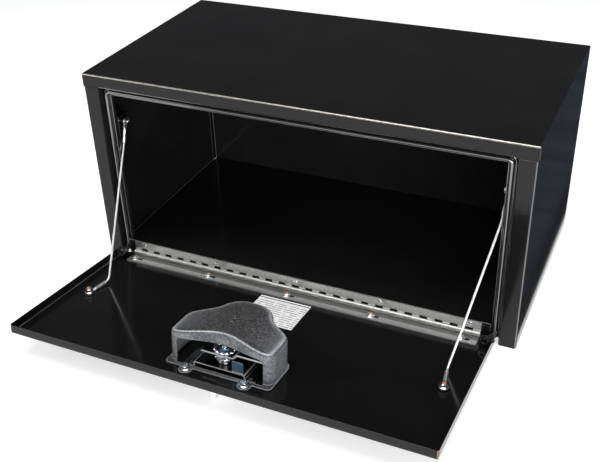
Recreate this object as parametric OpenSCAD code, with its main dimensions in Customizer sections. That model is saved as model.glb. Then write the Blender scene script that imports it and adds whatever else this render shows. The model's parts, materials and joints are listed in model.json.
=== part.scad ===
// Under-body tool box for a truck: a folded steel box with a drop-down door on a
// continuous hinge, two stay cables, a bulb seal and a covered turn latch.
// Millimetres. X runs along the box, Y to the back, Z up. The origin is the
// middle of the bottom face of the body, and the door is shown let down.

/* [Body] */
// Outside width of the body
body_w = 762; // [700:1:900]
// Outside depth of the body, front to back
body_d = 406.4; // [380:0.1:460]
// Outside height of the body
body_h = 355.6; // [350:0.1:380]
// Thickness of the body sheet
sheet = 2; // [1.5:0.1:2.4]
// Inside radius of the sheet bends
bend_r = 1.6; // [1:0.1:2.5]
// Height of the face above the door opening
header_h = 23; // [20:1:24]
// Width of the face on each side of the opening
post_w = 29; // [27:1:29]
// Height of the upright front edge of the floor
sill_h = 34.9; // [33:0.1:38]

/* [Door] */
// Angle of the open door above level
door_tilt = 7; // [0:0.5:10]
// Width of the door pan
door_w = 698; // [680:1:704]
// Reach of the door from the hinge axis to its free edge
door_reach = 316.4; // [300:0.1:318]
// Height of the door lips above the inner skin
lip_h = 14.5; // [12:0.1:15]
// Thickness of the door sheet
skin = 1.5; // [1.2:0.1:2]

/* [Hinge] */
// Length of one hinge knuckle
knuckle_l = 12.7; // [10:0.1:20]
// Number of knuckles, an odd number
knuckle_n = 51; // [31:2:51]
// Outside radius of the knuckles
knuckle_r = 4.2; // [3.8:0.1:4.3]
// Radius of the hinge pin
pin_r = 2.1; // [1.5:0.1:2.4]
// Thickness of the hinge leaves
leaf_t = 1.8; // [1.2:0.1:1.8]

/* [Cables] */
// Radius of the wire rope
rope_r = 2; // [1.2:0.1:2.5]
// Radius of the sleeve pressed on each end of the rope
sleeve_r = 3; // [2.8:0.1:4]

/* [Latch] */
// Distance of the latch axis from the hinge axis
latch_s = 250; // [245:0.5:252]
// Reach of the latch cam from its axis
cam_reach = 68; // [60:1:70]
// Height of the latch cover in its middle
cover_h = 60; // [52:1:64]
// Half width of the latch cover
cover_x = 85; // [83:1:90]
// Thickness of the moulded wall
cover_t = 3; // [2:0.5:4]
// Length of the grip across the handle
grip_l = 84; // [60:1:90]

/* [Hidden] */

BLACK = "#1b1c20";
RUBBER = "#202122";
PLASTIC = "#4a4b4d";
ZINC = "#c4c8cb";
GALV = "#a4a6a6";
CHROME = "#d8d9da";
COPPER = "#d98a4a";
PAPER = "#f2f2ee";

bend_steps = 5;
round_fn = 48;
fit = 0.05;
seam = 0.4;

// Face opening and the folded step behind it
opening_x = body_w / 2 - post_w;
face_z = body_h - header_h;
step_d = 18;
flange_x = opening_x - 9;
flange_z = face_z - 9;
sill_x = flange_x - 5;
sill_y = 3.4;
inner_x = body_w / 2 - sheet;

// Seal strip on the flange edge: a clip with a hollow bulb on its front
clip_in = 6;
clip_out = 7.5;
clip_wall = 2.4;
bulb_r = 3.4;
bulb_hole_r = 2;
bulb_out = 0.7;
bulb_reach = 3.8;
neck_half = 2;
lip_r = 1.2;
seal_corner_r = 7;
seal_bottom = 20;
tail_r = 4.4;

// Hinge axis, measured from the face, and the door frame on it
pin_y = -0.9;
pin_z = 13.6;
skin_drop = 5.2;
hinge_l = knuckle_l * knuckle_n;
leaf_top = sill_h - 0.1;
leaf_low = 21;
leaf_s = 29;
leaf_in = 3.2;
rivet_pitch = 152.4;
rivet_z = 28;
stud_shift = -7.5;
stud_s = 18;
pan_s = -1.5;
pan_r = 3.4;

// Stay cables: upper stud on the bracket, lower stud on the door
upper_y = 42;
upper_z = 257;
plate_x = 345.5;
upper_gap = 7.5;
upper_fall = 66;
lower_x = 311;
lower_s = 161.5;
sleeve_l = 30;
eye_r = 7;
eye_t = 2.4;
eye_back = 9;
stud_gap = 2;
lower_turn = 9;
lower_lift = 4;
upper_lift = 3;
bend_reach = 9;

// Latch heights above the inner skin
bracket_h = 9.4;
cam_h = 24;
cam_t = 3;
cam_lift = 7;
seat_h = 21;
cam_half = 9;
shaft_r = 7;
thread_r = 5;
plug_r = 5.5;
hub_r = 14;
plate_out = -4.5;
boss_out = -9.3;
grip_out = -30;

// ---- plane geometry -------------------------------------------------------

function turn(v, a) = [v[0] * cos(a) - v[1] * sin(a), v[0] * sin(a) + v[1] * cos(a)];
function left_of(v) = [-v[1], v[0]];
function heading(p, q) = (q - p) / norm(q - p);
function cross_of(a, b) = a[0] * b[1] - a[1] * b[0];
function flip(list) = [for (i = [len(list) - 1:-1:0]) list[i]];

// Arc that rounds corner p between headings a and b, shifted off to the left
function corner_arc(p, a, b, r, off = 0) =
    let (bend = atan2(cross_of(a, b), a * b),
         side = sign(bend),
         start = p - a * r * tan(abs(bend) / 2),
         centre = start + side * r * left_of(a))
    [for (k = [0:bend_steps])
        centre + (r - side * off) * turn(-side * left_of(a), bend * k / bend_steps)];

// One side of a folded sheet whose middle follows path
function fold_side(path, off, r) =
    let (last = len(path) - 1)
    [for (i = [0:last])
        let (a = i == 0 ? heading(path[0], path[1]) : heading(path[i - 1], path[i]),
             b = i == last ? a : heading(path[i], path[i + 1]))
        each (i == 0 || i == last) ? [path[i] + off * left_of(a)]
            : corner_arc(path[i], a, b, r, off)];

module folded(path, t, r) {
    polygon(concat(fold_side(path, t / 2, r + t / 2), flip(fold_side(path, -t / 2, r + t / 2))));
}

// Closed outline from corners [x, y, radius]
function rounded(corners) =
    let (n = len(corners), xy = [for (c = corners) [c[0], c[1]]])
    [for (i = [0:n - 1])
        let (a = heading(xy[(i + n - 1) % n], xy[i]), b = heading(xy[i], xy[(i + 1) % n]))
        each corners[i][2] == 0 ? [xy[i]] : corner_arc(xy[i], a, b, corners[i][2])];

function bezier(p, n = 8) = [for (k = [0:n]) let (t = k / n, u = 1 - t)
    u * u * u * p[0] + 3 * u * u * t * p[1] + 3 * u * t * t * p[2] + t * t * t * p[3]];

// ---- placing --------------------------------------------------------------

// Y measured from the front face
module at_front() {
    translate([0, -body_d / 2, 0]) children();
}

// Door frame: x along the hinge, s from the hinge axis outwards, h above the skin
module on_door() {
    at_front() translate([0, pin_y, pin_z]) rotate([-door_tilt, 0, 0])
        translate([0, 0, -skin_drop]) mirror([0, 1, 0]) children();
}

module on_latch() {
    on_door() translate([0, latch_s, 0]) children();
}

// A profile drawn in Y and Z, run along X
module along_x(length) {
    rotate([90, 0, 90]) linear_extrude(length, center = true) children();
}

// A profile drawn in X and Z, run along Y from y0 to y1
module along_y(y0, y1) {
    translate([0, y1, 0]) rotate([90, 0, 0]) linear_extrude(y1 - y0) children();
}

module along_z(z0, z1) {
    translate([0, 0, z0]) linear_extrude(z1 - z0) children();
}

module both_sides() {
    for (side = [0, 1]) mirror([side, 0, 0]) children();
}

module rod(r, h0, h1) {
    translate([0, 0, h0]) cylinder(r = r, h = h1 - h0, $fn = round_fn);
}

module block(low, high) {
    translate(low) cube(high - low);
}

// ---- body sheets ----------------------------------------------------------

module top_panel() {
    mid = sheet / 2;
    flange_y = step_d - mid;
    roof = [[body_d, body_h - mid], [mid, body_h - mid]];
    color(BLACK) at_front() {
        along_x(2 * opening_x)
            folded(concat(roof, [[mid, face_z + mid], [flange_y, face_z + mid],
                [flange_y, flange_z]]), sheet, bend_r);
        along_x(body_w) folded(concat(roof, [[mid, face_z + 8]]), sheet, bend_r);
        both_sides() block([opening_x - 1, 0, face_z], [body_w / 2, sheet, face_z + 9]);
    }
}

// Left-hand side sheet: wall, face post, step and seal flange
module side_sheet() {
    mid = sheet / 2;
    wall_x = -body_w / 2 + mid;
    step_x = -opening_x - mid;
    flange_y = step_d - mid;
    step_end = step_d - sheet - bend_r - 1;
    at_front() {
        along_z(0, face_z - seam)
            folded([[wall_x, body_d], [wall_x, mid], [step_x, mid], [step_x, step_end]],
                sheet, bend_r);
        along_z(sheet + seam, flange_z - seam)
            folded([[step_x, step_end - 3], [step_x, flange_y], [-flange_x, flange_y]],
                sheet, bend_r);
        block([-body_w / 2, 8, face_z - 8], [-inner_x, body_d, body_h - sheet]);
    }
}

module left_side_panel() {
    color(BLACK) side_sheet();
}

module right_side_panel() {
    color(BLACK) mirror([1, 0, 0]) side_sheet();
}

module back_panel() {
    mid = sheet / 2;
    edge = inner_x - mid;
    color(BLACK) at_front() along_z(0, body_h - sheet)
        folded([[-edge, body_d - 14], [-edge, body_d - mid], [edge, body_d - mid],
            [edge, body_d - 14]], sheet, bend_r);
}

module bottom_panel() {
    mid = sheet / 2;
    edge = inner_x - mid;
    rear = body_d - 14.4;
    color(BLACK) at_front() {
        along_y(step_d + 0.6, rear)
            folded([[-edge, 10], [-edge, mid], [edge, mid], [edge, 10]], sheet, bend_r);
        block([-edge + 3, rear - 1, 0], [edge - 3, body_d - sheet, sheet]);
        along_x(2 * sill_x)
            folded([[step_d + 2, mid], [sill_y + mid, mid], [sill_y + mid, sill_h]],
                sheet, bend_r);
    }
}

// ---- stay cables ----------------------------------------------------------

module cable_bracket() {
    wall = inner_x - sheet / 2;
    leg = plate_x + sheet / 2;
    at_front() along_z(205, 266)
        folded([[-wall, 86], [-wall, 61], [-leg, 61], [-leg, 34]], sheet, bend_r);
}

module left_cable_bracket() {
    color(BLACK) cable_bracket();
}

module right_cable_bracket() {
    color(BLACK) mirror([1, 0, 0]) cable_bracket();
}

// Left-hand upper stud axis: local z runs from the bracket into the box
module on_upper_stud() {
    at_front() translate([-plate_x, upper_y, upper_z]) rotate([0, 90, 0]) children();
}

module upper_studs() {
    color(ZINC) both_sides() on_upper_stud() {
        rod(3, 0, 15.5);
        rod(5.5, 0, upper_gap);
    }
}

module flange_nut(r, flange_r, across, height) {
    difference() {
        union() {
            cylinder(r1 = flange_r, r2 = flange_r * 0.86, h = 1.4, $fn = round_fn);
            cylinder(d = across / cos(30), h = height, $fn = 6);
        }
        translate([0, 0, -1]) cylinder(r = r, h = height + 2, $fn = round_fn);
    }
}

module upper_nuts() {
    color(ZINC) both_sides() on_upper_stud() translate([0, 0, upper_gap + eye_t])
        flange_nut(3, 7, 10, 5);
}

// Flat eye for a stud at the origin, its sleeve running along -y and rising by lift
module terminal(lift) {
    difference() {
        union() {
            cylinder(r = eye_r, h = eye_t, $fn = round_fn);
            block([-4.6, -11, 0], [4.6, 0, eye_t]);
        }
        translate([0, 0, -1]) cylinder(r = 3.1, h = eye_t + 2, $fn = round_fn);
    }
    translate([0, -eye_back, eye_t / 2]) rotate([90 - lift, 0, 0])
        cylinder(r = sleeve_r, h = sleeve_l, $fn = round_fn);
}

// A point of the door frame, in the frame of the face
function door_point(x, s, h) =
    [x, pin_y - s * cos(door_tilt) + (h - skin_drop) * sin(door_tilt),
     pin_z + s * sin(door_tilt) + (h - skin_drop) * cos(door_tilt)];

// Left cable: out of the lower sleeve, round a short bend, straight to the upper sleeve
lower_run = eye_back + sleeve_l * cos(lower_lift);
rope_low = door_point(-lower_x + lower_run * sin(lower_turn),
    lower_s - lower_run * cos(lower_turn), stud_gap + eye_t / 2 + sleeve_l * sin(lower_lift));
sleeve_root = door_point(-lower_x + eye_back * sin(lower_turn),
    lower_s - eye_back * cos(lower_turn), stud_gap + eye_t / 2);
rope_out = (rope_low - sleeve_root) / norm(rope_low - sleeve_root);
upper_run = eye_back + sleeve_l * cos(upper_lift);
upper_hang = [0, -cos(upper_fall), -sin(upper_fall)];
upper_eye = [-plate_x + upper_gap + eye_t / 2, upper_y, upper_z];
rope_top = upper_eye + upper_run * upper_hang + [sleeve_l * sin(upper_lift), 0, 0];
top_root = upper_eye + eye_back * upper_hang;
rope_down = (rope_top - top_root) / norm(rope_top - top_root);

// The cable from one sleeve to the other, straight between a short bend at each end
low_bend = rope_low + bend_reach * rope_out;
top_bend = rope_top + bend_reach * rope_down;
rope_up = (top_bend - low_bend) / norm(top_bend - low_bend);
rope_route = concat(
    bend_points(rope_low + 0.3 * rope_out, low_bend, low_bend + bend_reach * rope_up),
    [for (k = [1:5]) low_bend + bend_reach * rope_up
        + (top_bend - low_bend - 2 * bend_reach * rope_up) * k / 6],
    bend_points(top_bend - bend_reach * rope_up, top_bend, rope_top));

function bend_points(a, b, c) = [for (k = [0:10]) let (t = k / 10)
    (1 - t) * (1 - t) * a + 2 * t * (1 - t) * b + t * t * c];

// Tube swept along route, its radius growing by grow from one end to the other
module tube(route, r, sides = 8, grow = 0) {
    last = len(route) - 1;
    rings = [for (i = [0:last])
        let (ahead = route[min(i + 1, last)] - route[max(i - 1, 0)],
             t = ahead / norm(ahead),
             u = cross(t, [1, 0, 0]) / norm(cross(t, [1, 0, 0])),
             v = cross(t, u))
        each [for (k = [0:sides - 1])
            route[i] + (r + grow * i / last)
                * (cos(360 * k / sides) * u + sin(360 * k / sides) * v)]];
    walls = [for (i = [0:last - 1], k = [0:sides - 1])
        let (a = i * sides + k, b = i * sides + (k + 1) % sides)
        each [[a, b, b + sides], [a, b + sides, a + sides]]];
    polyhedron(rings, concat(walls, [[for (k = [sides - 1:-1:0]) k]],
        [[for (k = [0:sides - 1]) last * sides + k]]));
}

module left_cable() {
    color(ZINC) at_front() tube(rope_route, rope_r);
}

module right_cable() {
    color(ZINC) mirror([1, 0, 0]) at_front() tube(rope_route, rope_r);
}

module upper_terminal() {
    on_upper_stud() translate([0, 0, upper_gap]) rotate([0, 0, upper_fall]) terminal(upper_lift);
}

module left_upper_terminal() {
    color(ZINC) upper_terminal();
}

module right_upper_terminal() {
    color(ZINC) mirror([1, 0, 0]) upper_terminal();
}

module lower_terminal() {
    on_door() translate([-lower_x, lower_s, stud_gap]) rotate([0, 0, lower_turn])
        terminal(lower_lift);
}

module left_lower_terminal() {
    color(ZINC) lower_terminal();
}

module right_lower_terminal() {
    color(ZINC) mirror([1, 0, 0]) lower_terminal();
}

module lower_studs() {
    color(COPPER) both_sides() on_door() translate([-lower_x, lower_s, 0]) {
        rod(3, 0, 14);
        rod(5, 0, stud_gap);
    }
}

module lower_nuts() {
    color(ZINC) both_sides() on_door() translate([-lower_x, lower_s, stud_gap + eye_t])
        flange_nut(3, 8, 11, 6.5);
}

// ---- door seal ------------------------------------------------------------

// Seal section: first axis from the flange edge outwards, second axis to the back
module seal_section() {
    back = step_d + clip_wall;
    front = step_d - sheet - clip_wall;
    bulb_y = front - bulb_reach;
    difference() {
        union() {
            translate([-clip_in, front]) square([clip_in + clip_out, back - front]);
            for (out = [lip_r - clip_in, clip_out - lip_r])
                translate([out, front]) circle(r = lip_r, $fn = round_fn);
            translate([bulb_out, bulb_y]) circle(r = bulb_r, $fn = round_fn);
            translate([bulb_out - neck_half, bulb_y]) square([2 * neck_half, bulb_reach + 1]);
        }
        translate([0, step_d - sheet - 0.1]) square([clip_out + 1, sheet + 0.2]);
        translate([bulb_out, bulb_y]) circle(r = bulb_hole_r, $fn = round_fn);
    }
}

// Half of the strip: up the left side, round the corner and along the top
module seal_half() {
    corner_x = flange_x - seal_corner_r;
    corner_z = flange_z - seal_corner_r;
    translate([-flange_x, 0, seal_bottom]) linear_extrude(corner_z - seal_bottom)
        mirror([1, 0, 0]) seal_section();
    translate([-corner_x, 0, corner_z]) rotate([90, 0, 0]) mirror([0, 0, 1])
        rotate([0, 0, 90]) rotate_extrude(angle = 90, $fn = round_fn * 2)
            translate([seal_corner_r, 0]) seal_section();
    translate([-corner_x, 0, flange_z]) rotate([90, 0, 90]) linear_extrude(corner_x)
        rotate([0, 0, 90]) mirror([0, 1, 0]) seal_section();
}

module door_seal() {
    color(RUBBER) at_front() both_sides() seal_half();
}

// Loose end of the strip, bending forward past the hinge end and opening out
tail_route = bezier([[-346, 10.4, 19.5], [-346.5, 9.5, 11], [-341, -7, 15.5],
    [-336, -27, 25.5]]);

module seal_tail() {
    at_front() tube(tail_route, tail_r, 16, 3);
}

module left_seal_tail() {
    color(RUBBER) seal_tail();
}

module right_seal_tail() {
    color(RUBBER) mirror([1, 0, 0]) seal_tail();
}

// ---- hinge ----------------------------------------------------------------

// Every second knuckle, starting with number first; children are one knuckle at x = 0
module each_knuckle(first) {
    for (i = [first:2:knuckle_n - 1])
        translate([-hinge_l / 2 + (i + 0.5) * knuckle_l, 0, 0]) children();
}

module knuckle() {
    along_x(knuckle_l - 0.3) circle(r = knuckle_r, $fn = round_fn);
}

module pin_bore() {
    along_x(hinge_l + 2) circle(r = pin_r + fit, $fn = round_fn);
}

module hinge_fixed_leaf() {
    color(GALV) at_front() difference() {
        union() {
            block([-hinge_l / 2, sill_y - leaf_t, leaf_low], [hinge_l / 2, sill_y, leaf_top]);
            each_knuckle(0) {
                translate([0, pin_y, pin_z]) knuckle();
                block([-knuckle_l / 2 + 0.15, sill_y - leaf_t, pin_z],
                    [knuckle_l / 2 - 0.15, sill_y, leaf_low + 1]);
            }
        }
        translate([0, pin_y, pin_z]) pin_bore();
    }
}

module hinge_rivets() {
    color(ZINC) at_front() for (i = [-2:2])
        translate([i * rivet_pitch, sill_y - leaf_t, rivet_z]) rotate([90, 0, 0]) {
            cylinder(r1 = 4.5, r2 = 3.2, h = 1.2, $fn = round_fn);
        }
}

module hinge_pin() {
    color(ZINC) at_front() translate([0, pin_y, pin_z])
        along_x(hinge_l) circle(r = pin_r, $fn = round_fn);
}

module hinge_door_leaf() {
    color(GALV) on_door() difference() {
        union() {
            block([-hinge_l / 2, leaf_in, 0], [hinge_l / 2, leaf_s, leaf_t]);
            each_knuckle(1) {
                translate([0, 0, skin_drop]) knuckle();
                block([-knuckle_l / 2 + 0.15, 0, 0],
                    [knuckle_l / 2 - 0.15, knuckle_r + 4, leaf_t]);
            }
        }
        translate([0, 0, skin_drop]) pin_bore();
        for (i = [-2:2]) translate([i * rivet_pitch + stud_shift + 5, stud_s, -1])
            linear_extrude(leaf_t + 2) {
                square([14, 6], center = true);
                for (end = [-7, 7]) translate([end, 0]) circle(r = 3, $fn = round_fn);
            }
    }
}

module hinge_studs() {
    color(COPPER) on_door() for (i = [-2:2])
        translate([i * rivet_pitch + stud_shift, stud_s, 0]) rod(2.5, 0, 7);
}

module hinge_nuts() {
    color(ZINC) on_door() for (i = [-2:2])
        translate([i * rivet_pitch + stud_shift, stud_s, leaf_t]) flange_nut(2.5, 7, 9.5, 4);
}

// ---- door -----------------------------------------------------------------

// Solid pan whose lower edges and free corners are rounded
module pan_solid(half, s1, h0, h1, r) {
    intersection() {
        along_y(pan_s, s1)
            polygon(rounded([[-half, h1, 0], [-half, h0, r], [half, h0, r], [half, h1, 0]]));
        along_x(2 * half)
            polygon(rounded([[pan_s, h1, 0], [pan_s, h0, 0], [s1, h0, r], [s1, h1, 0]]));
        along_z(h0, h1)
            polygon(rounded([[-half, pan_s, 0], [half, pan_s, 0], [half, s1, r], [-half, s1, r]]));
    }
}

module door_panel() {
    half = door_w / 2;
    color(BLACK) on_door() difference() {
        pan_solid(half, door_reach, -skin, lip_h, pan_r);
        difference() {
            translate([0, -1, 0])
                pan_solid(half - skin, door_reach - skin + 1, 0, lip_h + 1, pan_r - skin);
            block([-half, pan_s - 3, -1], [half, pan_s - 2, lip_h + 2]);
        }
        block([-half - 1, pan_s - 1, 0], [half + 1, 12, lip_h + 1]);
        translate([0, latch_s, 0]) rod(9, -skin - 1, 1);
        for (x = [-1, 1], s = [-1, 1])
            translate([x * 50, latch_s - 5 + s * 18, 0]) rod(2.6, -skin - 1, 1);
    }
}

module label() {
    color(PAPER) on_door()
        linear_extrude(0.25) polygon(rounded([[-47, 33, 2], [46, 33, 2], [46, 115, 2],
            [-47, 115, 2]]));
}

// ---- latch cover ----------------------------------------------------------

// Half outline of the cover from its nose to its front corner
function cover_half(x) = concat(
    bezier([[0, 151], [24, 151], [36, 160], [43, 176]]),
    bezier([[43, 176], [47, 187], [60, 193], [x - 9, 203]]),
    bezier([[x - 9, 203], [x - 3, 207], [x, 212], [x, 221]]));

function cover_outline(x, front) = concat(cover_half(x), [[x, front]],
    [for (k = [0:14]) let (t = k / 7 - 1) [-70 * t, front - 8 * (1 + cos(180 * t))]],
    [[-x, front]], flip([for (p = cover_half(x)) [-p[0], p[1]]]));

// Outline moved inwards by d
function inset(list, d) =
    let (n = len(list))
    [for (i = [0:n - 1])
        let (along = heading(list[(i + n - 1) % n], list[(i + 1) % n]))
        list[i] + d * left_of(along)];

function clean(list) = [for (i = [0:len(list) - 1])
    if (norm(list[i] - list[(i + len(list) - 1) % len(list)]) > 0.5) list[i]];

cover_front = 268;
cover_plan = clean(cover_outline(cover_x, cover_front));
crown_r = (cover_x * cover_x + 64) / 16;

// Body of the cover under a crowned top
module cover_solid(plan, top, base) {
    intersection() {
        along_z(base, top + 1) polygon(plan);
        along_y(100, 320) polygon(concat([[-100, base - 1]],
            [for (x = [-100:10:100]) [x, top - crown_r + sqrt(crown_r * crown_r - x * x)]],
            [[100, base - 1]]));
    }
}

module latch_cover() {
    color(PLASTIC) on_door() difference() {
        union() {
            cover_solid(cover_plan, cover_h, 0);
            along_z(0, cover_t) polygon(inset(cover_plan, -4));
            along_z(0, cover_t) polygon(rounded([[-89, 255, 0], [89, 255, 0], [89, 280, 8],
                [-89, 280, 8]]));
            for (x = [-49, 49]) translate([x, 284, 0]) rod(11, 0, cover_t);
        }
        cover_solid(inset(cover_plan, cover_t), cover_h - cover_t, -1);
        block([-72, 235, -1], [72, 272, 12]);
        along_y(235, 300)
            polygon(rounded([[-72, cover_t, 6], [72, cover_t, 6], [72, 45, 6], [-72, 45, 6]]));
        for (x = [-49, 49]) translate([x, 284, 0]) rod(3.2, -1, cover_t + 1);
    }
}

module cover_studs() {
    color(ZINC) on_door() for (x = [-49, 49]) translate([x, 284, 0]) rod(3, 0, 9);
}

module cover_nuts() {
    color(ZINC) on_door() for (x = [-49, 49]) translate([x, 284, cover_t])
        flange_nut(3, 8, 11, 5.5);
}

// ---- turn latch -----------------------------------------------------------

module at_plate_studs() {
    for (x = [-1, 1], s = [-1, 1]) translate([x * 50, -5 + s * 18, 0]) children();
}

module plate_outline(half_x, half_s) {
    translate([0, -5]) polygon(rounded([[-half_x, -half_s, 14], [half_x, -half_s, 14],
        [half_x, half_s, 14], [-half_x, half_s, 14]]));
}

module escutcheon() {
    color(CHROME) on_latch() difference() {
        union() {
            along_z(plate_out, -2.3) plate_outline(60, 31);
            translate([0, 0, boss_out]) cylinder(r1 = 15.5, r2 = 18, h = 5.5, $fn = round_fn);
            at_plate_studs() rod(2.5, -2.4, 5.6);
        }
        rod(shaft_r + fit, boss_out - 1, 0);
    }
}

module escutcheon_gasket() {
    color(RUBBER) on_latch() difference() {
        along_z(-2.3, -skin) plate_outline(59, 30);
        rod(shaft_r + 2, -3, 0);
        at_plate_studs() rod(2.6, -3, 0);
    }
}

module latch_bracket() {
    top = bracket_h - 1;
    color(ZINC) on_latch() difference() {
        union() {
            along_y(-24, 20)
                folded([[-60, 1], [-42, 1], [-42, top], [42, top], [42, 1], [60, 1]], 2, 1.2);
            block([22, 18, bracket_h - 1], [40, 20, 28]);
        }
        rod(shaft_r + fit, 4, 12);
        at_plate_studs() rod(2.6, -1, 4);
    }
}

module bracket_nuts() {
    color(ZINC) on_latch() at_plate_studs() translate([0, 0, 2]) flange_nut(2.5 + fit, 5.5, 8, 3.4);
}

module t_handle() {
    half = grip_l / 2;
    color(CHROME) on_latch() difference() {
        union() {
            translate([0, 0, -19]) cylinder(r1 = hub_r, r2 = 11, h = 9.2, $fn = round_fn);
            along_z(grip_out, -18)
                polygon(rounded([[-6.5, -half, 5], [6.5, -half, 5], [8, -18, 12],
                    [15, 0, 13], [8, 18, 12], [6.5, half, 5], [-6.5, half, 5], [-8, 18, 12],
                    [-15, 0, 13], [-8, -18, 12]]));
        }
        rod(plug_r + fit, grip_out - 1, -17);
        rod(shaft_r + fit, -14.6, -9);
        translate([-20, 0, -12.2]) rotate([0, 90, 0]) cylinder(r = 1.6 + fit, h = 40, $fn = round_fn);
    }
}

module handle_pin() {
    color(ZINC) on_latch() translate([-11, 0, -12.2]) rotate([0, 90, 0])
        cylinder(r = 1.6, h = 22, $fn = round_fn);
}

module latch_shaft() {
    color(ZINC) on_latch() difference() {
        union() {
            rod(shaft_r, -14.6, cam_h - cam_t / 2);
            rod(thread_r, 0, 39);
        }
        translate([-20, 0, -12.2]) rotate([0, 90, 0]) cylinder(r = 1.6 + fit, h = 40, $fn = round_fn);
    }
}

module latch_spring() {
    coils = 4;
    low = bracket_h + 1.6;
    high = seat_h - 1.3;
    steps = 20;
    color(ZINC) on_latch()
        tube([for (k = [0:coils * steps]) let (a = 360 * k / steps)
            [9.6 * cos(a), 9.6 * sin(a), low + (high - low) * k / (coils * steps)]], 1.2, 6);
}

// Cone under the cam that the spring pushes on
module spring_seat() {
    color(ZINC) on_latch() rotate_extrude($fn = round_fn * 2)
        polygon([[shaft_r + fit, seat_h], [11, seat_h], [16, seat_h - 2], [16, seat_h - 0.6],
            [11.4, seat_h + 1.4], [shaft_r + fit, seat_h + 1.4]]);
}

module latch_cam() {
    color(ZINC) on_latch() difference() {
        along_y(-cam_half, cam_half)
            folded([[-36, cam_h], [18, cam_h], [24, cam_h + cam_lift],
                [cam_reach, cam_h + cam_lift]], cam_t, 1.5);
        rod(thread_r + fit, cam_h - 5, cam_h + 5);
    }
}

module cup_washer() {
    low = cam_h + cam_t / 2;
    color(ZINC) on_latch() translate([0, 0, low]) rotate_extrude($fn = round_fn * 2)
        polygon([[thread_r + fit, 0], [11.5, 0], [18, 6.5], [18, 9], [16.2, 9], [10.9, 1.8],
            [thread_r + fit, 1.8]]);
}

module cam_nut() {
    low = cam_h + cam_t / 2 + 1.8;
    color(ZINC) on_latch() translate([0, 0, low]) flange_nut(thread_r + fit, 10, 14, 7);
}

module key_plug() {
    color(CHROME) on_latch() difference() {
        rod(plug_r, grip_out, -17.3);
        block([-0.6, -3.6, grip_out - 1], [0.6, 3.6, grip_out + 6]);
    }
}

top_panel();
left_side_panel();
right_side_panel();
back_panel();
bottom_panel();
left_cable_bracket();
right_cable_bracket();
upper_studs();
upper_nuts();
left_upper_terminal();
right_upper_terminal();
left_cable();
right_cable();
door_seal();
left_seal_tail();
right_seal_tail();
hinge_fixed_leaf();
hinge_rivets();
hinge_pin();
hinge_door_leaf();
door_panel();
hinge_studs();
hinge_nuts();
lower_studs();
lower_nuts();
left_lower_terminal();
right_lower_terminal();
label();
latch_cover();
cover_studs();
cover_nuts();
escutcheon();
escutcheon_gasket();
latch_bracket();
bracket_nuts();
t_handle();
handle_pin();
latch_shaft();
latch_spring();
spring_seat();
latch_cam();
cup_washer();
cam_nut();
key_plug();
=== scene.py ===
"""Looks of the truck tool box: materials, detailed hardware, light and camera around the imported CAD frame."""

import json
import math

import bmesh
import bpy
from mathutils import Matrix, Vector


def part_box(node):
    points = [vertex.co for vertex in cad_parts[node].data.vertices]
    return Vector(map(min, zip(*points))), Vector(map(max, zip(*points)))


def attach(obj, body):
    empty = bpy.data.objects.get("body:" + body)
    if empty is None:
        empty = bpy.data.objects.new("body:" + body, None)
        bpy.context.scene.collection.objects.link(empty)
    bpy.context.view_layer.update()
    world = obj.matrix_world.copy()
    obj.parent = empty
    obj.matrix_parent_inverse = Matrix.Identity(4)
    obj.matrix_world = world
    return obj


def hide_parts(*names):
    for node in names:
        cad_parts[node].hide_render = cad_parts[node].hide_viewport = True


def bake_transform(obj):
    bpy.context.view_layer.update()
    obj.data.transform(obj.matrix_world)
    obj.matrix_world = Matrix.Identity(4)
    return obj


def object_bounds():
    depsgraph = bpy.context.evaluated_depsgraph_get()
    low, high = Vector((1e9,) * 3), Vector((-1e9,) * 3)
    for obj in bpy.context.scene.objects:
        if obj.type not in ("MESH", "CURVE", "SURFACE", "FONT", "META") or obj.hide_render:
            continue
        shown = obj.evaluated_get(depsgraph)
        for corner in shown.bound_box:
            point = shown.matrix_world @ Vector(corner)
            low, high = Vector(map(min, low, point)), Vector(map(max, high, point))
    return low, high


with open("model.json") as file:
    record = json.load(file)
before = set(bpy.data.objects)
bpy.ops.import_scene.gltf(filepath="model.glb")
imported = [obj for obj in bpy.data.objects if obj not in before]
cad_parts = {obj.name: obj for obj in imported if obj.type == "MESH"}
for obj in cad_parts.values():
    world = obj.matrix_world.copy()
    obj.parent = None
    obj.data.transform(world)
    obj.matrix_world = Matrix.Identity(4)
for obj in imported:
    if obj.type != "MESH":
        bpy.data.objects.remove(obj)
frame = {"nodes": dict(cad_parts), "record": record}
cad_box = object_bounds()

# ---------------------------------------------------------------- placing
# Sizes of the object are millimetres and degrees. MM turns millimetres into the metres of the row frame.
MM = 0.001
BODY_D = 406.4
# open door: its tilt above level, the hinge axis, and the skin's drop below that axis
TILT = math.radians(7)
PIN_Y, PIN_Z, SKIN_DROP = -0.9, 13.6, 5.2
# hinge: pitch of its rivets, its studs on the door, and the swinging leaf's band of painted shade
RIVET_PITCH, RIVET_Z, RIVET_OUT = 152.4, 28, 1.6
STUD_SHIFT, STUD_S, LEAF_T = -7.5, 18, 1.8
BAND_END, BARREL_SIDE = -18.5, -4
# stay cables: the upper stud on its bracket, the lower stud on the door, and the way each end points
PLATE_X, UPPER_Y, UPPER_Z = 345.5, 42, 257
UPPER_GAP, UPPER_FALL, UPPER_LIFT = 7.5, 66, 3
LOWER_X, LOWER_S, STUD_GAP = 311, 161.5, 2
LOWER_TURN, LOWER_LIFT, BEND_REACH = 9, 4, 9
# terminals and rope
EYE_T, EYE_R, EYE_BACK, EYE_BORE, NECK_HALF = 2.4, 7, 9, 3.15, 4.4
SLEEVE_L, SLEEVE_R, ROPE_R = 30, 3, 2
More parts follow.
